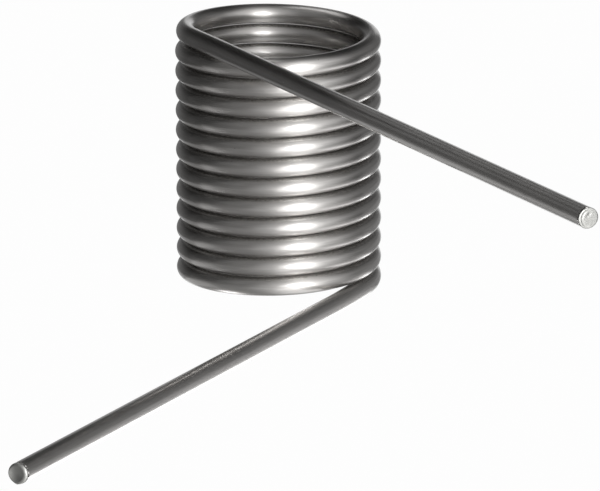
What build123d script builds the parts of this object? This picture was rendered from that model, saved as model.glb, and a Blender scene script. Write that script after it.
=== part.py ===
from build123d import *

import math
import os

# A right-hand torsion spring, bent from one length of round wire, in millimetres and degrees.
# The coil axis is Z and the spring's lowest point lies on Z = 0. Directions round the coil are
# measured from +X, anticlockwise seen from above, which is the way the coil climbs.

# Wire and coil
wire_diameter = 2.0
turn_gap = 0.06  # space between neighbouring turns, so that they never rub
coil_radius = 9.45  # from the coil axis to the middle of the wire
full_turns = 12  # whole turns from the lower leg to the upper leg, before the part turn
lower_leg_start = -25.9  # direction in which the coil ends and the lower leg begins
upper_leg_start = 204.7  # direction in which the coil ends and the upper leg begins

# The last stretch of coil before the upper leg is wound a little tighter than the rest
tight_stretch = 84.7
tight_stretch_inset = 0.22

# Legs, measured from the end of the coil to the cut end
lower_leg_length = 74.3
upper_leg_length = 74.5
leg_bend_length = 8.0  # gentle curve in which each leg leaves the coil
lower_leg_rise = 1.5  # slope of the straight lower leg
upper_leg_drop = 1.0  # slope of the straight upper leg
upper_leg_closing = 5.0  # how far the upper leg goes on turning in its curve

# Sheared end of the upper leg: nearly square, with an edge rolled over by the blade
upper_rolled_width = 0.09
upper_rolled_depth = 0.32
upper_face_tilt = 5.0
pit_radius = 0.25
pit_depth = 0.1
pit_offset = 0.3  # how far above the middle of the face the fracture pit lies

# Sheared end of the lower leg: dished, with a burr drawn out at its lowest point
lower_rolled_width = 0.12
lower_rolled_depth = 0.22
dish_rim = 0.3
dish_depth = 0.2
burr_height = 0.16
burr_half_width = 0.25
burr_root = 0.2  # how far the burr's cone reaches into the wire

wire_radius = wire_diameter / 2
coil_pitch = wire_diameter + turn_gap


def direction(heading, slope):
    """Unit vector with this heading round Z and this slope above the level."""
    return Vector(1, 0, 0).rotate(Axis.Y, -slope).rotate(Axis.Z, heading)


def wire_along(path):
    """Round wire that follows a path."""
    section = Plane(origin=path @ 0, z_dir=path % 0) * Circle(wire_radius)
    return sweep(section, path=path, is_frenet=True)


def helix_path(radius, centre, start, turned):
    """Climbing path round a vertical axis, as steep as the coil at any radius."""
    pitch = coil_pitch * radius / coil_radius
    helix = Edge.make_helix(pitch, pitch * turned / 360, radius)
    return Pos(centre) * Rot(0, 0, start) * helix


def bend_path(start, leaving, arriving):
    """Gentle arc from one direction to another."""
    turned = math.radians(leaving.get_angle(arriving))
    chord = 2 * leg_bend_length / turned * math.sin(turned / 2)
    end = start + (leaving + arriving).normalized() * chord
    return TangentArc(start, end, tangent=leaving)


def rolled_leg(length, rolled_width, rolled_depth):
    """Straight wire along Z whose far end has a rolled-over edge."""
    face_radius = wire_radius - rolled_width
    shoulder = length - rolled_depth
    rolled_edge = EllipticalCenterArc(
        (face_radius, shoulder), rolled_width, rolled_depth, start_angle=0, arc_size=90
    )
    outline = [
        Polyline(rolled_edge @ 1, (0, length), (0, 0), (wire_radius, 0), rolled_edge @ 0),
        rolled_edge,
    ]
    return revolve(Plane.XZ * make_face(outline), axis=Axis.Z)


def beyond(face):
    """Block that covers everything past an end face."""
    reach = 2 * wire_diameter
    return face * Pos(0, 0, reach / 2) * Box(reach, reach, reach)


def dent(face, offset, radius, depth):
    """Ball that leaves a round dent this wide and deep in an end face."""
    ball_radius = (radius**2 + depth**2) / (2 * depth)
    return face * Pos(0, offset, ball_radius - depth) * Sphere(ball_radius)


def upper_leg():
    """Upper leg along Z, with Y up: a face that leans, and a fracture pit in it."""
    straight = upper_leg_length - leg_bend_length
    leg = rolled_leg(straight, upper_rolled_width, upper_rolled_depth)
    lean = Pos(wire_radius, 0, straight) * Rot(0, -upper_face_tilt, 0)
    face = lean * Pos(-wire_radius, 0, 0)
    return leg - beyond(face) - dent(face, pit_offset, pit_radius, pit_depth)


def lower_leg():
    """Lower leg along Z, with Y up: a dished face with a burr under it."""
    straight = lower_leg_length - leg_bend_length
    face = Pos(0, 0, straight)
    leg = rolled_leg(straight, lower_rolled_width, lower_rolled_depth)
    leg += face * burr()
    return leg - beyond(face) - dent(face, 0, wire_radius - dish_rim, dish_depth)


def burr():
    """Pointed cone that sticks out of the wire along -Y."""
    height = burr_root + burr_height
    root_radius = burr_half_width * height / burr_height
    middle = wire_radius - burr_root + height / 2
    return Pos(0, -middle, 0) * Rot(90, 0, 0) * Cone(root_radius, 0, height)


def set_at(start, heading, slope):
    """Location of a leg that starts here: Z along the leg, X level, Y up."""
    across = direction(heading + 90, 0)
    return Plane(origin=start, x_dir=across, z_dir=direction(heading, slope)).location


def torsion_spring():
    """The whole spring, from the lower cut end through the coil to the upper one."""
    tight_start = upper_leg_start - tight_stretch
    coil_turned = 360 * full_turns + tight_start - lower_leg_start
    coil = helix_path(coil_radius, (0, 0, 0), lower_leg_start, coil_turned)

    inset = direction(tight_start, 0) * tight_stretch_inset
    tight_centre = Vector(inset.X, inset.Y, (coil @ 1).Z)
    tight_coil = helix_path(
        coil_radius - tight_stretch_inset, tight_centre, tight_start, tight_stretch
    )

    lower_heading = lower_leg_start - 90
    lower_bend = bend_path(coil @ 0, -(coil % 0), direction(lower_heading, lower_leg_rise))

    upper_heading = upper_leg_start + 90 + upper_leg_closing
    upper_bend = bend_path(tight_coil @ 1, tight_coil % 1, direction(upper_heading, -upper_leg_drop))

    spring = wire_along(coil)
    spring += wire_along(tight_coil)
    spring += wire_along(lower_bend)
    spring += wire_along(upper_bend)
    spring += set_at(lower_bend @ 1, lower_heading, lower_leg_rise) * lower_leg()
    spring += set_at(upper_bend @ 1, upper_heading, -upper_leg_drop) * upper_leg()
    return Pos(0, 0, -spring.bounding_box().min.Z) * spring


os.makedirs("parts", exist_ok=True)
export_step(torsion_spring(), "parts/torsion_spring.step")
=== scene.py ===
import math

import bpy
import numpy as np
from mathutils import Matrix, Vector


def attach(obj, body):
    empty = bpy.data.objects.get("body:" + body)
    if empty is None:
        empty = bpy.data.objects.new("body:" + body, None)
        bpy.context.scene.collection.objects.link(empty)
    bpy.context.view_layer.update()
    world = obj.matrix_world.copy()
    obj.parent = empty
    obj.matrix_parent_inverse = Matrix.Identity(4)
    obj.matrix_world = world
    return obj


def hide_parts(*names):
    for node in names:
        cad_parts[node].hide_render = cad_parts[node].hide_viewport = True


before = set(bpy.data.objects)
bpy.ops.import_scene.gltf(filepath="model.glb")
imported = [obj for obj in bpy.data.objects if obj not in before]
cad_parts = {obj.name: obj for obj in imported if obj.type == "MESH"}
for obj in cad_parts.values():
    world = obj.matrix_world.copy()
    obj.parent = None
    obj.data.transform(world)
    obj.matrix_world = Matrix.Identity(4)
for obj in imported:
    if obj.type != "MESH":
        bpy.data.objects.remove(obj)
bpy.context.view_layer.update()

# A torsion spring of oiled drawn wire in a white studio. Lengths are in millimetres, and
# become metres where they reach Blender.
MM = 0.001

# The spring's sizes, in millimetres and degrees, as in the CAD source
WIRE_RADIUS = 1.0
COIL_PITCH = 2.06
COIL_RADIUS = 9.45
FULL_TURNS = 12
LOWER_LEG_START = -25.9
UPPER_LEG_START = 204.7
TIGHT_STRETCH = 84.7
TIGHT_STRETCH_INSET = 0.22
LOWER_LEG_LENGTH = 74.3
UPPER_LEG_LENGTH = 74.5
LEG_BEND_LENGTH = 8.0
LOWER_LEG_RISE = 1.5
UPPER_LEG_DROP = 1.0
UPPER_LEG_CLOSING = 5.0

# The visible wire is thinner and, at each end, shorter than the solid, to stay inside it
SKIN = 0.003
END_INSET = 0.07

# Sheared end of the upper leg. Places on a face are (level, up) from its middle, and circles
# are (level, up, radius).
UPPER_RIM = (0.05, 0.09)  # width and depth of the rolled edge
UPPER_FACE_TILT = 5.0
UPPER_FACE = (0.115, 0.0, 0.87)  # circle inside the bevel where the blade went in
BEVEL_TILT = 13.0
BEVEL_STEP = 0.03  # how far the face's outer part lies behind the bevel's inner edge
STEP_WIDTH = 0.1  # width of the bevel where the step begins; it is whole at twice that
STEP_RADIUS = 0.6  # the face has no step inside this
PITS = [  # (level, up, radius, depth)
    (0.08, 0.4, 0.22, 0.035),
    (-0.14, 0.16, 0.15, 0.02),
]

# Sheared end of the lower leg: a dish, a rolled edge that is widest on one side, and a burr
LOWER_FACE = (-0.15, -0.05, 0.75)
DISH_DEPTH = 0.15
LOWER_RIM_DEPTH = 0.12
LOWER_ROLL_DEPTH = 0.5  # more depth where the edge is wide, as a share of its width
BURR_PLACE = -0.1
BURR_HEIGHT = 0.15
BURR_HALF_WIDTH = 0.5
BURR_SHARPNESS = 1.3
BURR_FADE = 0.4  # mm behind the face to where the burr ends

# How finely the wire is meshed
SIDES = 56
COIL_STEP = 3.0  # degrees
TURN_RINGS = round(360 / COIL_STEP)
BEND_STEP = 0.5  # mm
LEG_STEP = 1.6
NEAR_END = (0.25, 0.6, 1.0)  # mm from an end to the rings that lie close to it
RIM_RINGS = 10
FACE_RINGS = 12
END_RINGS = RIM_RINGS + 1 + FACE_RINGS
LOWER_SIDE_BANDS = 2  # outermost bands of an end that look like the wire's side
UPPER_SIDE_BANDS = 1
TINY = 1e-6  # keeps a radius that is divided by from being 0

# Space to the turn above, in mm
NEIGHBOUR_REACH = 3.0  # a turn whose middle is further away than this is no neighbour
OPEN_GAP = 5.0  # stands for the space where no turn lies above

# Maps on the wire, in mm
TANGENT_MAP_UNIT = 10  # length of wire that one unit of the map for the draw lines holds
BAKE_STRIPS = 12  # strips that the wire's side is cut into for its baked textures
STRIP_SPACE = 0.1  # between neighbouring strips
STRIP_MARGIN = 1.5  # at the start of every strip
DISC_ROOM = 2.2 * WIRE_RADIUS  # height of the row that holds the two ends
LOWER_DISC = 1.2  # from the row's start to the middle of each end
UPPER_DISC = 4.0


def direction(heading, slope):
    """Unit vector with this heading round Z and this slope above the level."""
    h, s = math.radians(heading), math.radians(slope)
    return np.array([math.cos(h) * math.cos(s), math.sin(h) * math.cos(s), math.sin(s)])


def helix(radius, centre, start, turned):
    """Points and unit tangents of a climbing turn, as steep as the coil."""
    count = math.ceil(turned / COIL_STEP)
    angle = np.radians(start + np.linspace(0, turned, count + 1))
    climb = COIL_PITCH * radius / COIL_RADIUS / (2 * math.pi)
    round_it = np.stack([np.cos(angle), np.sin(angle), np.zeros_like(angle)], 1)
    points = np.array(centre) + radius * round_it
    points[:, 2] += climb * (angle - angle[0])
    tangents = np.stack([-np.sin(angle), np.cos(angle), np.full_like(angle, climb / radius)], 1)
    return points, tangents / np.linalg.norm(tangents, axis=1, keepdims=True)


def bend(start, leaving, arriving):
    """Points and unit tangents of the gentle arc from one direction to another."""
    turned = math.acos(float(np.clip(leaving @ arriving, -1, 1)))
    inward = arriving - (arriving @ leaving) * leaving
    inward /= np.linalg.norm(inward)
    count = math.ceil(LEG_BEND_LENGTH / BEND_STEP)
    angle = np.linspace(0, turned, count + 1)[:, None]
    radius = LEG_BEND_LENGTH / turned
    points = start + radius * (np.sin(angle) * leaving + (1 - np.cos(angle)) * inward)
    return points, np.cos(angle) * leaving + np.sin(angle) * inward


def straight(start, along, length):
    """Points and unit tangents of a straight run."""
    near = length - np.array(NEAR_END)[::-1]
    even = np.linspace(0, near[0], math.ceil(near[0] / LEG_STEP) + 1)
    reach = np.concatenate([even, near[1:], [length]])
    return start + reach[:, None] * along, np.repeat(along[None], len(reach), axis=0)


def joined(stretches):
    """One line from stretches that each begin where the last one ended."""
    points = [stretches[0][0]] + [p[1:] for p, _ in stretches[1:]]
    tangents = [stretches[0][1]] + [t[1:] for _, t in stretches[1:]]
    return np.concatenate(points), np.concatenate(tangents)


def wire_line():
    """The middle of the wire, from the lower cut end to the upper one."""
    tight_start = UPPER_LEG_START - TIGHT_STRETCH
    turned = 360 * FULL_TURNS + tight_start - LOWER_LEG_START
    coil = helix(COIL_RADIUS, (0, 0, 0), LOWER_LEG_START, turned)
    tight_centre = direction(tight_start, 0) * TIGHT_STRETCH_INSET
    tight_centre[2] = coil[0][-1][2]
    tight = helix(COIL_RADIUS - TIGHT_STRETCH_INSET, tight_centre, tight_start, TIGHT_STRETCH)

    lower = direction(LOWER_LEG_START - 90, LOWER_LEG_RISE)
    lower_bend = bend(coil[0][0], -coil[1][0], lower)
    lower_leg = straight(lower_bend[0][-1], lower, LOWER_LEG_LENGTH - LEG_BEND_LENGTH)
    upper = direction(UPPER_LEG_START + 90 + UPPER_LEG_CLOSING, -UPPER_LEG_DROP)
    upper_bend = bend(tight[0][-1], tight[1][-1], upper)
    upper_leg = straight(upper_bend[0][-1], upper, UPPER_LEG_LENGTH - LEG_BEND_LENGTH)

    outward = joined([lower_bend, lower_leg])
    inward = outward[0][::-1], -outward[1][::-1]
    points, tangents = joined([inward, coil, tight, upper_bend, upper_leg])
    points[:, 2] += WIRE_RADIUS - points[:, 2].min()
    return points, tangents


def carried_axes(tangents):
    """Axes across the wire that turn with it and never twist about it."""
    across = np.cross(tangents[0], (0, 0, 1))
    xs = []
    for tangent in tangents:
        across = across - (across @ tangent) * tangent
        across /= np.linalg.norm(across)
        xs.append(across)
    xs = np.array(xs)
    return xs, np.cross(tangents, xs)


POINTS, TANGENTS = wire_line()
XS, YS = carried_axes(TANGENTS)
ANGLES = np.linspace(0, 2 * math.pi, SIDES, endpoint=False)
COSINES, SINES = np.cos(ANGLES)[None, :, None], np.sin(ANGLES)[None, :, None]
CIRCLES = COSINES * XS[:, None] + SINES * YS[:, None]
DISTANCE = np.concatenate([[0], np.cumsum(np.linalg.norm(np.diff(POINTS, axis=0), axis=1))])
LAST = len(POINTS) - 1


def dent(x, y, level, up, radius, depth):
    """How far back the ball-shaped dent at this place lies, and 0 outside it."""
    ball = (radius**2 + depth**2) / (2 * depth)
    off = np.minimum(np.hypot(x - level, y - up), radius)
    return np.sqrt(ball**2 - off**2) - (ball - depth)


def rolled(share):
    """Depth of a rolled edge at this share of its width: 1 at the wire's side, 0 at the face."""
    return 1 - np.sqrt(1 - np.clip(share, 0, 1) ** 2)


def edge_width(x, radius, face):
    """How wide the edge outside this face is in the direction of these points."""
    return WIRE_RADIUS - face[2] - face[0] * x / np.maximum(radius, TINY)


def upper_end(x, y, out):
    """(level, up, how far back) of points of the upper end; out is 1 at the side, 0 at the face."""
    radius = np.hypot(x, y)
    width = edge_width(x, radius, UPPER_FACE)
    back = (WIRE_RADIUS - x) * math.tan(math.radians(UPPER_FACE_TILT))
    back += UPPER_RIM[1] * rolled((radius - WIRE_RADIUS + UPPER_RIM[0]) / UPPER_RIM[0])
    back += out * width * math.tan(math.radians(BEVEL_TILT))
    step = BEVEL_STEP * np.clip(width / STEP_WIDTH - 1, 0, 1)
    back += np.where(out == 0, step, 0) * (radius > STEP_RADIUS)
    for pit in PITS:
        back += dent(x, y, *pit)
    return x, y, back


def lower_end(x, y, out):
    """(level, up, how far back) of points of the lower end; out is 1 at the side, 0 at the face."""
    radius = np.hypot(x, y)
    width = edge_width(x, radius, LOWER_FACE)
    back = (LOWER_RIM_DEPTH + LOWER_ROLL_DEPTH * width) * rolled(out)
    back += dent(x, y, *LOWER_FACE, DISH_DEPTH)
    pointed = np.clip(1 - abs(x - BURR_PLACE) / BURR_HALF_WIDTH, 0, 1) ** BURR_SHARPNESS
    fading = np.clip(1 - back / BURR_FADE, 0, 1) * radius**3
    return x, np.where(y < 0, y * (1 + BURR_HEIGHT * pointed * fading), y), back


def end_circles(face):
    """(level, up, radius, how far out) of each ring of an end, from the wire's side inwards."""
    level, up, radius = face
    circles = []
    for out in np.sin(np.linspace(math.pi / 2, 0, RIM_RINGS + 1)):
        here = WIRE_RADIUS + (radius - WIRE_RADIUS) * (1 - out)
        circles.append((level * (1 - out), up * (1 - out), here, out))
    for ring in range(1, FACE_RINGS + 1):
        circles.append((level, up, radius * (1 - ring / FACE_RINGS), 0))
    return circles


def end_ring(index, sign, circle, shape):
    """Points of one ring of an end, from its circle across the flat end."""
    along = TANGENTS[index] * sign
    level = np.cross((0, 0, 1), along)
    level /= np.linalg.norm(level)
    up = np.cross(along, level)
    x = circle[0] + circle[2] * CIRCLES[index] @ level
    y = circle[1] + circle[2] * CIRCLES[index] @ up
    x, y, back = shape(x, y, circle[3])
    place = x[:, None] * level + y[:, None] * up - back[:, None] * along
    return POINTS[index] + place * (1 - SKIN) - END_INSET * along


def wire_points():
    """(points, distance along the wire, radius) of every ring, from the lower end to the upper."""
    lower, upper = end_circles(LOWER_FACE)[::-1], end_circles(UPPER_FACE)
    inner = np.arange(1, LAST)
    rings = [end_ring(0, -1, circle, lower_end) for circle in lower]
    rings += list(POINTS[inner, None] + (WIRE_RADIUS - SKIN) * CIRCLES[inner])
    rings += [end_ring(LAST, 1, circle, upper_end) for circle in upper]
    lower_radii, upper_radii = np.array([c[2] for c in lower]), np.array([c[2] for c in upper])
    along = [lower_radii - WIRE_RADIUS, DISTANCE[inner], DISTANCE[-1] + WIRE_RADIUS - upper_radii]
    radii = [lower_radii, np.ones(len(inner)), upper_radii]
    return np.concatenate(rings), np.concatenate(along), np.concatenate(radii)


def gap_above(index):
    """Space from each side of a ring to the turn above it, in mm."""
    first = index + TURN_RINGS // 2
    later = POINTS[first:]
    if len(later) == 0:
        return np.full(SIDES, OPEN_GAP)
    away = np.linalg.norm(later - POINTS[index], axis=1)
    above = first + int(np.argmin(away))
    if away.min() > NEIGHBOUR_REACH:
        return np.full(SIDES, OPEN_GAP)
    off = POINTS[index] + WIRE_RADIUS * CIRCLES[index] - POINTS[above]
    off -= (off @ TANGENTS[above])[:, None] * TANGENTS[above]
    return np.linalg.norm(off, axis=1) - WIRE_RADIUS


def ring_faces(count):
    """Quads between neighbouring rings, and triangles to the first and the last, each a point."""
    ring, side = np.meshgrid(np.arange(1, count - 2), np.arange(SIDES), indexing="ij")
    here, there = (ring * SIDES + side).ravel(), (ring * SIDES + (side + 1) % SIDES).ravel()
    quads = np.stack([here, there, there + SIDES, here + SIDES], 1)
    j = np.arange(SIDES)
    k = (j + 1) % SIDES
    lower = np.stack([j, SIDES + k, SIDES + j], 1)
    first = (count - 2) * SIDES
    upper = np.stack([first + j, first + k, first + SIDES + j], 1)
    return quads.tolist() + lower.tolist() + upper.tolist()


def corner_places(mesh):
    """(ring, side, first corner of each face, face of each corner) of a mesh made of rings."""
    corners = np.zeros(len(mesh.loops), np.int32)
    mesh.loops.foreach_get("vertex_index", corners)
    starts = np.zeros(len(mesh.polygons), np.int32)
    mesh.polygons.foreach_get("loop_start", starts)
    face = np.repeat(np.arange(len(starts)), np.diff(np.append(starts, len(corners))))
    ring, side = np.divmod(corners, SIDES)
    # a face that closes its ring counts the first side as one past the last
    spread = np.maximum.reduceat(side, starts) - np.minimum.reduceat(side, starts)
    closing = (spread > SIDES / 2)[face]
    side = np.where(closing & (side < SIDES / 2), side + SIDES, side)
    return corners, ring, side, starts, face


def bake_map(places, ring, side, starts, face, count):
    """Map for baked textures: the wire's side as strips side by side, and both ends as discs."""
    x, y, along = places
    length = DISTANCE[-1] / BAKE_STRIPS
    row = 2 * math.pi * WIRE_RADIUS + STRIP_SPACE
    size = BAKE_STRIPS * row + DISC_ROOM
    middle = (np.maximum.reduceat(along, starts) + np.minimum.reduceat(along, starts)) / 2
    strip = np.clip(middle // length, 0, BAKE_STRIPS - 1)[face]
    u = STRIP_MARGIN + along - strip * length
    v = STRIP_SPACE / 2 + strip * row + side / SIDES * 2 * math.pi * WIRE_RADIUS
    lower = (np.maximum.reduceat(ring, starts) < END_RINGS)[face]
    upper = (np.minimum.reduceat(ring, starts) >= count - END_RINGS)[face]
    u = np.where(lower, LOWER_DISC + x, np.where(upper, UPPER_DISC + x, u))
    v = np.where(lower | upper, BAKE_STRIPS * row + DISC_ROOM / 2 + y, v)
    return np.stack([u, v], 1) / size


def build_wire():
    """The whole wire as one mesh, with a ring of points every few degrees or millimetres."""
    points, along, radii = wire_points()
    count = len(along)
    mesh = bpy.data.meshes.new("spring_wire")
    mesh.from_pydata((points * MM).tolist(), [], ring_faces(count))
    mesh.polygons.foreach_set("use_smooth", [True] * len(mesh.polygons))

    across = np.outer(radii, np.cos(ANGLES)), np.outer(radii, np.sin(ANGLES))
    coords = np.stack([across[0].ravel(), across[1].ravel(), np.repeat(along, SIDES)], 1)
    place = mesh.attributes.new("wire_place", "FLOAT_VECTOR", "POINT")
    place.data.foreach_set("vector", coords.ravel())

    gaps = np.full((count, SIDES), OPEN_GAP)
    for index in range(1, LAST):
        gaps[END_RINGS + index - 1] = gap_above(index)
    turn_gap = mesh.attributes.new("turn_gap", "FLOAT", "POINT")
    turn_gap.data.foreach_set("value", gaps.ravel())

    corners, ring, side, starts, face = corner_places(mesh)
    round_and_along = np.stack([side / SIDES, coords[corners, 2] / TANGENT_MAP_UNIT], 1)
    mesh.uv_layers.new(name="wire_uv").data.foreach_set("uv", round_and_along.ravel())
    baked = bake_map(coords[corners].T, ring, side, starts, face, count)
    mesh.uv_layers.new(name="OFBake").data.foreach_set("uv", baked.ravel())

    mesh.materials.append(drawn_steel())
    mesh.materials.append(cut_steel())
    in_lower_face = np.maximum.reduceat(ring, starts) < END_RINGS - LOWER_SIDE_BANDS
    in_upper_face = np.minimum.reduceat(ring, starts) >= count - END_RINGS + UPPER_SIDE_BANDS
    mesh.polygons.foreach_set("material_index", (in_lower_face | in_upper_face).astype(np.int32))
    mesh.update()
    wire = bpy.data.objects.new("spring_wire", mesh)
    bpy.context.scene.collection.objects.link(wire)
    return wire


# Drawn wire. A pattern is (how fine across the wire, how fine along it, detail, roughness), and
# most of a noise's values lie between the two numbers of its range.
STEEL_DARK = (0.56, 0.545, 0.53, 1)
STEEL_LIGHT = (0.65, 0.63, 0.61, 1)
STEEL_ROUGHNESS = 0.36
STEEL_ANISOTROPY = 0.8
STEEL_BUMP = (0.01, 0.35)  # mm and strength
NOISE_RANGE = (0.3, 0.7)

CLOUDS = (0.7, 0.16, 2, 0.5)
CLOUD_ROUGH_RANGE = (0.25, 0.75)
CLOUD_ROUGHNESS = 0.03

LINES = (7.0, 0.35, 3, 0.6)
LINE_COLOUR = (0.34, 0.325, 0.305, 1)
LINE_SHARE = 0.35
LINE_ROUGH_RANGE = (0.2, 0.8)
LINE_ROUGHNESS = 0.05
LINE_HEIGHT = 0.7
HAIRLINES = (17.0, 0.3, 1, 0.5)
HAIRLINE_HEIGHT = 0.3

NICKS = (1.3, 0.55)  # how fine across the wire and along it
NICK_SIZE = 0.055
NICK_KINDS = 0.55  # of their random numbers from 0 to 1, those above this make a nick
BRIGHT_KINDS = 0.8  # and those above this a bright one
KIND_SOFTNESS = 0.02
NICK_DARK = (0.2, 0.18, 0.17, 1)
NICK_BRIGHT = (0.9, 0.88, 0.86, 1)
NICK_ROUGHNESS = 0.2
NICK_DEPTH = 2.0
SPECK_CORE = 0.5  # share of a speck's size that is solid

# Painted shade between the turns: each turn is darkened where the turn above lies close, by the
# space to the turn above in mm
GROOVE_SHADE_RISE = (0.08, 0.2)
GROOVE_SHADE_FADE = (0.3, 0.6)
GROOVE_SHADE_SHARE = 0.55
GROOVE_SHADE_COLOUR = (0.09, 0.083, 0.07, 1)
SHADE_GRAINS = (5.0, 4.0, 2, 0.6)
SHADE_GRAIN_RANGE = (0.35, 0.65)
SHADE_GRAIN_EFFECT = (0.6, 1.3)  # the painted shade's share is multiplied by a number between these

# Film of oil on the wire
OIL_WEIGHT = 1.0
OIL_ROUGHNESS = 0.12
OIL_IOR = 1.8

# Sheared faces
CUT_DARK = (0.43, 0.43, 0.415, 1)
CUT_LIGHT = (0.48, 0.48, 0.46, 1)
CUT_ROUGHNESS = 0.45
TORN = (3.5, 3.5, 4, 0.6)
TORN_ROUGHNESS = 0.05
CUT_GRAIN = (14.0, 14.0, 2, 0.5)
CUT_GRAIN_HEIGHT = 0.4
CUT_BUMP = (0.008, 0.4)

# Sockets of a Mix node that hold colours
MIX_A, MIX_B, MIX_RESULT = 6, 7, 2


class Nodes:
    """Short calls that add nodes to one tree."""

    def __init__(self, tree):
        self.tree = tree

    def put(self, socket, value):
        """Link another node's output to a socket, or set the socket to a plain value."""
        if isinstance(value, bpy.types.NodeSocket):
            self.tree.links.new(value, socket)
        else:
            socket.default_value = value

    def math(self, operation, *values):
        node = self.tree.nodes.new("ShaderNodeMath")
        node.operation = operation
        for socket, value in zip(node.inputs, values):
            self.put(socket, value)
        return node.outputs[0]

    def edge(self, value, middle, softness):
        """0 well under middle and 1 well over it."""
        return self.ranged(value, middle - softness, middle + softness, 0, 1, "SMOOTHSTEP")

    def ranged(self, value, low, high, to_low, to_high, curve="LINEAR"):
        """The value carried from one range to another."""
        node = self.tree.nodes.new("ShaderNodeMapRange")
        node.interpolation_type = curve
        self.put(node.inputs["Value"], value)
        node.inputs["From Min"].default_value = low
        node.inputs["From Max"].default_value = high
        node.inputs["To Min"].default_value = to_low
        node.inputs["To Max"].default_value = to_high
        return node.outputs["Result"]

    def wire_place(self, across, along):
        """Place on the wire in mm, stretched across it and along it."""
        place = self.tree.nodes.new("ShaderNodeAttribute")
        place.attribute_name = "wire_place"
        stretch = self.tree.nodes.new("ShaderNodeVectorMath")
        stretch.operation = "MULTIPLY"
        self.put(stretch.inputs[0], place.outputs["Vector"])
        stretch.inputs[1].default_value = (across, across, along)
        return stretch.outputs[0]

    def gap(self):
        """Space in mm from here to the turn above."""
        node = self.tree.nodes.new("ShaderNodeAttribute")
        node.attribute_name = "turn_gap"
        return node.outputs["Fac"]

    def noise(self, across, along, detail, roughness):
        """Cloudy numbers round 0.5 that keep their place on the wire."""
        node = self.tree.nodes.new("ShaderNodeTexNoise")
        self.put(node.inputs["Vector"], self.wire_place(across, along))
        node.inputs["Scale"].default_value = 1
        node.inputs["Detail"].default_value = detail
        node.inputs["Roughness"].default_value = roughness
        return node.outputs[0]

    def specks(self, across, along, size):
        """(1 on small specks and 0 elsewhere, one random number for each speck)."""
        node = self.tree.nodes.new("ShaderNodeTexVoronoi")
        self.put(node.inputs["Vector"], self.wire_place(across, along))
        node.inputs["Scale"].default_value = 1
        split = self.tree.nodes.new("ShaderNodeSeparateXYZ")
        self.put(split.inputs[0], node.outputs["Color"])
        inner = size * SPECK_CORE
        speck = self.ranged(node.outputs["Distance"], size, inner, 0, 1, "SMOOTHSTEP")
        return speck, split.outputs[0]

    def mixed(self, share, dark, light):
        """A colour between two."""
        node = self.tree.nodes.new("ShaderNodeMix")
        node.data_type = "RGBA"
        self.put(node.inputs["Factor"], share)
        self.put(node.inputs[MIX_A], dark)
        self.put(node.inputs[MIX_B], light)
        return node.outputs[MIX_RESULT]

    def bump(self, height, distance, strength):
        node = self.tree.nodes.new("ShaderNodeBump")
        self.put(node.inputs["Height"], height)
        node.inputs["Distance"].default_value = distance * MM
        node.inputs["Strength"].default_value = strength
        return node.outputs[0]


def metal(name, anisotropy, oil):
    """(material, its nodes, its shader) of a bare metal with some share of oil film on it."""
    material = bpy.data.materials.new(name)
    material.use_nodes = True
    shader = material.node_tree.nodes["Principled BSDF"]
    shader.inputs["Metallic"].default_value = 1.0
    shader.inputs["Anisotropic"].default_value = anisotropy
    shader.inputs["Coat Weight"].default_value = oil
    shader.inputs["Coat Roughness"].default_value = OIL_ROUGHNESS
    shader.inputs["Coat IOR"].default_value = OIL_IOR
    return material, Nodes(material.node_tree), shader


def drawn_steel():
    """Bright drawn wire: metal whose draw lines run along it and spread each highlight round it."""
    material, n, shader = metal("drawn_spring_steel", STEEL_ANISOTROPY, OIL_WEIGHT)
    tangent = n.tree.nodes.new("ShaderNodeTangent")
    tangent.direction_type = "UV_MAP"
    tangent.uv_map = "wire_uv"
    n.put(shader.inputs["Tangent"], tangent.outputs[0])

    lines = n.noise(*LINES)
    hairlines = n.noise(*HAIRLINES)
    clouds = n.noise(*CLOUDS)
    nicks, kind = n.specks(*NICKS, NICK_SIZE)
    nicks = n.math("MULTIPLY", nicks, n.edge(kind, NICK_KINDS, KIND_SOFTNESS))

    colour = n.mixed(n.ranged(clouds, *NOISE_RANGE, 0, 1), STEEL_DARK, STEEL_LIGHT)
    colour = n.mixed(n.ranged(lines, *NOISE_RANGE, 0, LINE_SHARE), colour, LINE_COLOUR)
    # Painted shade: the colour darkens where the turn above lies close, between the turns, and a
    # noise makes it uneven
    groove_shade = n.ranged(n.gap(), *GROOVE_SHADE_FADE, 1, 0, "SMOOTHSTEP")
    groove_shade = n.math("MULTIPLY", groove_shade, GROOVE_SHADE_SHARE)
    groove_shade = n.math("MULTIPLY", groove_shade, n.ranged(n.gap(), *GROOVE_SHADE_RISE, 0, 1, "SMOOTHSTEP"))
    shade_grains = n.ranged(n.noise(*SHADE_GRAINS), *SHADE_GRAIN_RANGE, *SHADE_GRAIN_EFFECT)
    colour = n.mixed(n.math("MULTIPLY", groove_shade, shade_grains), colour, GROOVE_SHADE_COLOUR)
    nick_colour = n.mixed(n.edge(kind, BRIGHT_KINDS, KIND_SOFTNESS), NICK_DARK, NICK_BRIGHT)
    n.put(shader.inputs["Base Color"], n.mixed(nicks, colour, nick_colour))

    smoothest, roughest = STEEL_ROUGHNESS - CLOUD_ROUGHNESS, STEEL_ROUGHNESS + CLOUD_ROUGHNESS
    rough = n.ranged(clouds, *CLOUD_ROUGH_RANGE, smoothest, roughest)
    uneven = n.ranged(lines, *LINE_ROUGH_RANGE, -LINE_ROUGHNESS, LINE_ROUGHNESS)
    rough = n.math("ADD", rough, uneven)
    rough = n.math("ADD", rough, n.math("MULTIPLY", nicks, NICK_ROUGHNESS))
    n.put(shader.inputs["Roughness"], rough)

    coarse = n.math("MULTIPLY", lines, LINE_HEIGHT)
    height = n.math("ADD", coarse, n.math("MULTIPLY", hairlines, HAIRLINE_HEIGHT))
    height = n.math("SUBTRACT", height, n.math("MULTIPLY", nicks, NICK_DEPTH))
    n.put(shader.inputs["Normal"], n.bump(height, *STEEL_BUMP))
    return material


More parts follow.
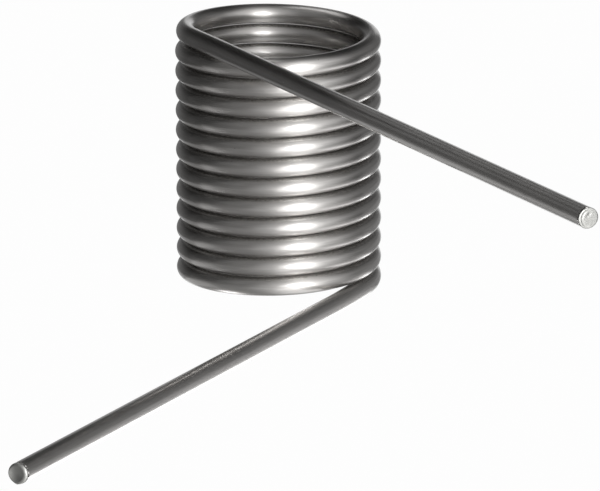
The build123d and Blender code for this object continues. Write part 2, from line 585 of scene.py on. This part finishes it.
def cut_steel():
    """Sheared face of the wire: torn, finely grained metal without oil."""
    material, n, shader = metal("sheared_steel", anisotropy=0.0, oil=0.0)
    torn = n.noise(*TORN)
    grain = n.noise(*CUT_GRAIN)
    colour = n.mixed(n.ranged(torn, *NOISE_RANGE, 0, 1), CUT_DARK, CUT_LIGHT)
    n.put(shader.inputs["Base Color"], colour)
    smoothest, roughest = CUT_ROUGHNESS - TORN_ROUGHNESS, CUT_ROUGHNESS + TORN_ROUGHNESS
    n.put(shader.inputs["Roughness"], n.ranged(torn, *NOISE_RANGE, roughest, smoothest))
    height = n.math("ADD", torn, n.math("MULTIPLY", grain, CUT_GRAIN_HEIGHT))
    n.put(shader.inputs["Normal"], n.bump(height, *CUT_BUMP))
    return material


# The studio, as seen from the spring: each panel is (middle, half width, left softness, right
# softness, lowest, highest, softness up and down, strength). Directions are degrees from the
# camera's side, to the right, and degrees above the horizon.
PANELS = {
    "main_core": (21, 8, 3, 9, -4, 17, 5, 10.32),
    "main_box": (28, 37, 59, 35, -22, 69, 21, 1.02),
    "under_front": (22, 28, 35, 3, -110, 12, 4, 0.554),
    "left_fill": (-61, 18, 5, 13, 19, 106, 52, 0.23),
    "right_fill": (91, 40, 5, 59, 5, 33, 22, 0.365),
    "floor_right": (100, 33, 60, 3, -100, -42, 6, 1.466),
    "floor_left": (-130, 16, 3, 4, -68, -57, 4, 5.232),
    "back": (-174, 43, 60, 43, -18, 7, 27, 0.29),
    "back_low": (153, 15, 23, 3, -42, -30, 4, 4.242),
    "top_left": (-140, 25, 10, 10, 48, 110, 8, 1.5),
    "backdrop": (173, 11, 4, 4, -32, 14, 5, 0.56),
    "backdrop_left": (-171, 9, 4, 4, -50, -22, 4, 0.765),
}
CAMERA_SIDE = -90  # heading of the side that the camera stands on

# Soft boxes close to the spring, which its legs see in another direction than its coil does:
# (azimuth, elevation, distance from the middle of the coil, width, height in mm, brightness)
CARDS = {
    "front_box": (20, -12, 140, 104, 188, 0.921),
    "left_card": (-80, 12, 90, 125, 100, 0.043),
    "low_left_card": (-120, -35, 86, 130, 35, 0.263),
    "low_right_card": (130, -23, 86, 95, 65, 0.162),
}
TABLE_GLOW = ((-80, 40), (-80, 0), 0.245)  # part of the white table: its x, its y and its brightness
TABLE_LEVEL = -0.5

# Gridded soft boxes that light the outer part of the upper leg and leave the coil dark. They
# stand round LEG_MIDDLE and face LEG_AIM, a little nearer to the leg's end:
# (azimuth, elevation, distance, width, height in mm, brightness, spread in degrees)
LEG_MIDDLE = np.array([24, -60, 25.5])
LEG_AIM = np.array([25, -62, 25.5])
LEG_BOXES = {
    "leg_side_box": (-122, 19, 70, 26, 50, 0.0046, 26),
    "leg_back_box": (-143, 33, 70, 40, 30, 0.006, 24),
    "leg_rear_box": (-168, 29, 70, 40, 30, 0.0064, 24),
}
NO_GRID = 180  # spread of a soft box without a grid

WHITE = 0.985  # brightness of the floor and of the backdrop that the camera sees
FLOOR_SIZE = 6.0  # metres


def panel(n, x, y, elevation, middle, half, left, right, lowest, highest, soft, strength):
    """How bright one soft panel is in the direction looked at."""
    sine, cosine = math.sin(math.radians(middle)), math.cos(math.radians(middle))
    ahead = n.math("SUBTRACT", n.math("MULTIPLY", x, sine), n.math("MULTIPLY", y, cosine))
    aside = n.math("ADD", n.math("MULTIPLY", x, cosine), n.math("MULTIPLY", y, sine))
    azimuth = n.math("DEGREES", n.math("ARCTAN2", aside, ahead))
    across = n.math("SUBTRACT", n.edge(azimuth, -half, left), n.edge(azimuth, half, right))
    upright = n.math("SUBTRACT", n.edge(elevation, lowest, soft), n.edge(elevation, highest, soft))
    return n.math("MULTIPLY", n.math("MULTIPLY", across, upright), strength)


def soft_box(name, place, facing, width, height, brightness, spread=NO_GRID):
    """Rectangular light, in mm, that faces this way, looks this bright and fans out this far."""
    data = bpy.data.lights.new(name, "AREA")
    data.shape = "RECTANGLE"
    data.size, data.size_y = width * MM, height * MM
    data.energy = brightness * math.pi * data.size * data.size_y
    data.spread = math.radians(spread)
    light = bpy.data.objects.new(name, data)
    turn = Vector(facing).to_track_quat("-Z", "Y").to_matrix().to_4x4()
    light.matrix_world = Matrix.Translation(Vector(place) * MM) @ turn
    light.visible_camera = False
    bpy.context.scene.collection.objects.link(light)


def make_cards():
    """The soft boxes near the coil and near the upper leg, and the glow of the table."""
    middle = np.array([0, 0, POINTS[:, 2].max() / 2])
    for seen_from, aim, cards in (middle, middle, CARDS), (LEG_MIDDLE, LEG_AIM, LEG_BOXES):
        for name, (azimuth, elevation, distance, *sizes) in cards.items():
            place = seen_from + distance * direction(azimuth + CAMERA_SIDE, elevation)
            soft_box(name, place, aim - place, *sizes)
    (x0, x1), (y0, y1), brightness = TABLE_GLOW
    place = ((x0 + x1) / 2, (y0 + y1) / 2, TABLE_LEVEL)
    soft_box("table_glow", place, (0, 0, 1), x1 - x0, y1 - y0, brightness)


def make_world():
    """The panels as the spring sees them, and plain white as the camera sees it."""
    world = bpy.data.worlds.new("studio")
    world.use_nodes = True
    tree = world.node_tree
    n = Nodes(tree)
    background = tree.nodes["Background"]
    place = tree.nodes.new("ShaderNodeTexCoord").outputs["Generated"]
    split = tree.nodes.new("ShaderNodeSeparateXYZ")
    tree.links.new(place, split.inputs[0])
    x, y, z = split.outputs
    elevation = n.math("DEGREES", n.math("ARCSINE", z))
    light = 0.0
    for sizes in PANELS.values():
        light = n.math("ADD", panel(n, x, y, elevation, *sizes), light)
    camera_sees = tree.nodes.new("ShaderNodeLightPath").outputs["Is Camera Ray"]
    mix = tree.nodes.new("ShaderNodeMix")
    tree.links.new(camera_sees, mix.inputs["Factor"])
    tree.links.new(light, mix.inputs["A"])
    mix.inputs["B"].default_value = WHITE
    tree.links.new(mix.outputs["Result"], background.inputs["Color"])
    bpy.context.scene.world = world


# Camera, in mm and degrees: how far from the point (0, 0, CAMERA_BASE), how high, and its aim
CAMERA_DISTANCE = 620.835
CAMERA_ELEVATION = 15.993
CAMERA_BASE = 1.227
CAMERA_AIM = (2.15, 0.0, 4.327)
CAMERA_ROLL = -0.1834
CAMERA_LENS = 363.664
SENSOR_WIDTH = 36.0
CAMERA_CLIP = (0.01, 20)  # metres


def make_camera():
    """The camera at the photograph's place and angle."""
    data = bpy.data.cameras.new("camera")
    data.lens = CAMERA_LENS
    data.sensor_fit = "HORIZONTAL"
    data.sensor_width = SENSOR_WIDTH
    data.clip_start, data.clip_end = CAMERA_CLIP
    camera = bpy.data.objects.new("camera", data)
    bpy.context.scene.collection.objects.link(camera)
    tilt = math.radians(CAMERA_ELEVATION)
    height = CAMERA_BASE + CAMERA_DISTANCE * math.sin(tilt)
    place = Vector((0, -CAMERA_DISTANCE * math.cos(tilt), height))
    look = Vector(CAMERA_AIM) - place
    turn = look.to_track_quat("-Z", "Y").to_matrix().to_4x4()
    roll = Matrix.Rotation(math.radians(CAMERA_ROLL), 4, "Z")
    camera.matrix_world = Matrix.Translation(place * MM) @ turn @ roll
    bpy.context.scene.camera = camera


def make_floor():
    """White floor that only the camera sees."""
    half = FLOOR_SIZE / 2
    mesh = bpy.data.meshes.new("floor")
    corners = [(-half, -half, 0), (half, -half, 0), (half, half, 0), (-half, half, 0)]
    mesh.from_pydata(corners, [], [(0, 1, 2, 3)])
    material = bpy.data.materials.new("white_floor")
    material.use_nodes = True
    nodes = material.node_tree.nodes
    nodes.clear()
    glow = nodes.new("ShaderNodeEmission")
    glow.inputs["Strength"].default_value = WHITE
    material.node_tree.links.new(glow.outputs[0], nodes.new("ShaderNodeOutputMaterial").inputs[0])
    mesh.materials.append(material)
    floor = bpy.data.objects.new("floor", mesh)
    floor.visible_glossy = False
    floor.visible_diffuse = False
    floor.visible_shadow = False
    floor.visible_transmission = False
    bpy.context.scene.collection.objects.link(floor)
    return floor


wire = build_wire()
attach(wire, "root")
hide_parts("torsion_spring")

make_floor()
make_world()
make_cards()
make_camera()
bpy.context.scene.view_settings.view_transform = "Standard"
